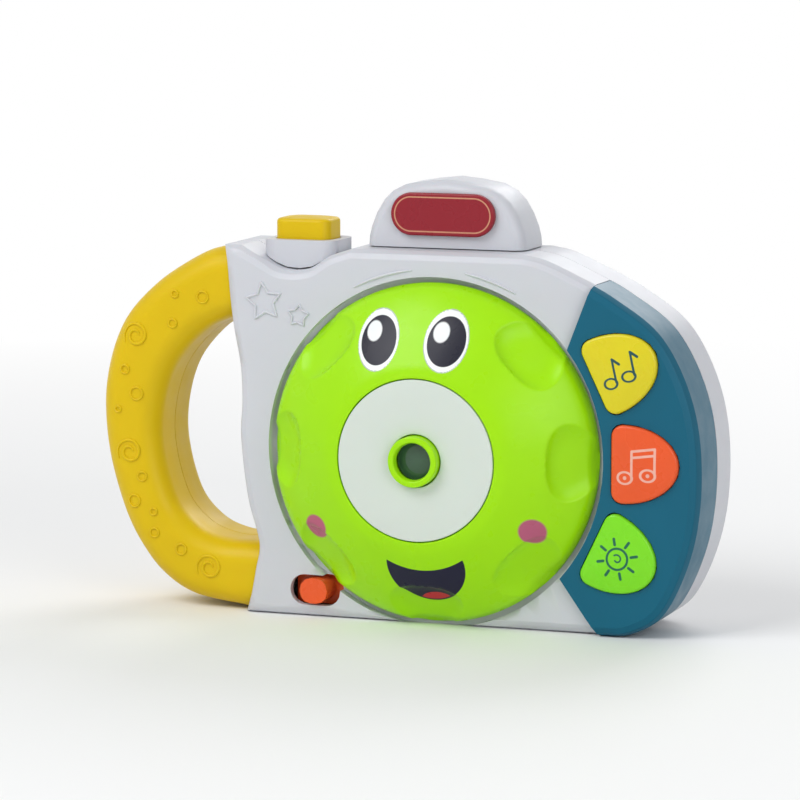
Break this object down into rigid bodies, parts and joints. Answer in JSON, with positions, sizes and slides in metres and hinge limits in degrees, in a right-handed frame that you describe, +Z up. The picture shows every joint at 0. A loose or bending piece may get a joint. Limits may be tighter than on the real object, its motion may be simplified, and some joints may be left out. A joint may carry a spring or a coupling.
{
  "type": "toy camera projector",
  "caption": "Toy camera with a C-shaped handle, a turning domed head around a centre lens, a crescent of push buttons and a viewfinder bump on top.",
  "frame": {"origin": "bottom centre of the whole toy's box, on the surface that its flat base stands on", "axes": "+X to the right seen from the front, +Y towards the battery side, +Z up; the lens looks along -Y"},
  "size_m": [0.165, 0.047, 0.114],
  "materials": {
    "white_shell": "satin moulded",
    "lime": "gloss",
    "yellow": "gloss",
    "teal": "gloss",
    "orange": "gloss",
    "button_yellow": "gloss",
    "button_green": "gloss",
    "red_plaque": "gloss with a thin gold edge line",
    "plate_white": "printed gloss",
    "disc_blue": "satin",
    "film": "clear printed film",
    "black_plastic": "matte",
    "clear_lens": "clear",
    "led": "clear epoxy",
    "board_green": "solder mask",
    "screw_steel": "zinc plated",
    "spring_steel": "nickel plated",
    "cell_jacket": "printed sleeve over metal",
    "speaker_metal": "black basket with paper cone",
    "lead_red": "insulated wire",
    "lead_white": "insulated wire"
  },
  "bodies": {
    "housing": {"front_shell": "white_shell", "rear_shell": "white_shell", "handle_front": "yellow", "handle_rear": "yellow", "control_panel": "teal", "viewfinder_housing": "white_shell", "badge_plate": "red_plaque", "shutter_seat": "white_shell", "shutter_spring": "spring_steel", "shutter_switch": "black_plastic", "music_spring": "spring_steel", "disco_spring": "spring_steel", "laughter_spring": "spring_steel", "control_board": "board_green", "control_board_screw_1": "screw_steel", "control_board_screw_2": "screw_steel", "main_board": "board_green", "main_board_screw_1": "screw_steel", "main_board_screw_2": "screw_steel", "power_switch_body": "black_plastic", "lamp_holder": "black_plastic", "condenser_lens": "clear_lens", "lamp": "led", "lamp_lead": "lead_white", "detent_spring": "spring_steel", "detent_screw": "screw_steel", "battery_1": "cell_jacket", "battery_2": "cell_jacket", "contact_plus": "spring_steel", "contact_minus": "spring_steel", "contact_bridge": "spring_steel", "contact_spring_1": "spring_steel", "contact_spring_2": "spring_steel", "battery_lead": "lead_red", "speaker": "speaker_metal", "speaker_lead": "lead_red", "housing_screw_1": "screw_steel", "housing_screw_2": "screw_steel", "housing_screw_3": "screw_steel", "housing_screw_4": "screw_steel", "handle_screw_1": "screw_steel", "handle_screw_2": "screw_steel"},
    "core": {"disc_core": "black_plastic", "beam_prism": "clear_lens"},
    "disc": {"picture_disc": "disc_blue", "film_ring": "film"},
    "cover": {"head_cover": "lime", "face_plate": "plate_white", "lens_barrel": "lime", "projection_lens": "clear_lens", "lens_retainer": "black_plastic"},
    "music": {"music_button": "button_yellow"},
    "disco": {"disco_button": "orange"},
    "laughter": {"laughter_button": "button_green"},
    "shutter": {"shutter_button": "yellow"},
    "power": {"power_switch_knob": "orange"},
    "door": {"battery_door": "white_shell", "battery_door_screw": "screw_steel"}
  },
  "joints": [
    {"name": "cartridge_pull", "type": "slide", "parent": "housing", "child": "core", "axis": [0, -1, 0], "range_m": [0, 0.025]},
    {"name": "picture_turn", "type": "hinge", "parent": "core", "child": "disc", "pos_m": [0.0115, 0, 0.0446], "axis": [0, -1, 0], "continuous": true},
    {"name": "cover_pull", "type": "slide", "parent": "disc", "child": "cover", "axis": [0, -1, 0], "range_m": [0, 0.03]},
    {"name": "music_press", "type": "slide", "parent": "housing", "child": "music", "axis": [0, 1, 0], "range_m": [0, 0.0015], "stiffness_N_per_m": 500, "deforming": ["music_spring"]},
    {"name": "disco_press", "type": "slide", "parent": "housing", "child": "disco", "axis": [0, 1, 0], "range_m": [0, 0.0015], "stiffness_N_per_m": 500, "deforming": ["disco_spring"]},
    {"name": "laughter_press", "type": "slide", "parent": "housing", "child": "laughter", "axis": [0, 1, 0], "range_m": [0, 0.0015], "stiffness_N_per_m": 500, "deforming": ["laughter_spring"]},
    {"name": "shutter_press", "type": "slide", "parent": "housing", "child": "shutter", "axis": [0, 0, -1], "range_m": [0, 0.0025], "stiffness_N_per_m": 600, "deforming": ["shutter_spring"]},
    {"name": "power_slide", "type": "slide", "parent": "housing", "child": "power", "axis": [1, 0, 0], "range_m": [-0.0025, 0.0025]},
    {"name": "door_lift", "type": "slide", "parent": "housing", "child": "door", "axis": [0, 1, 0], "range_m": [0, 0.025]}
  ]
}
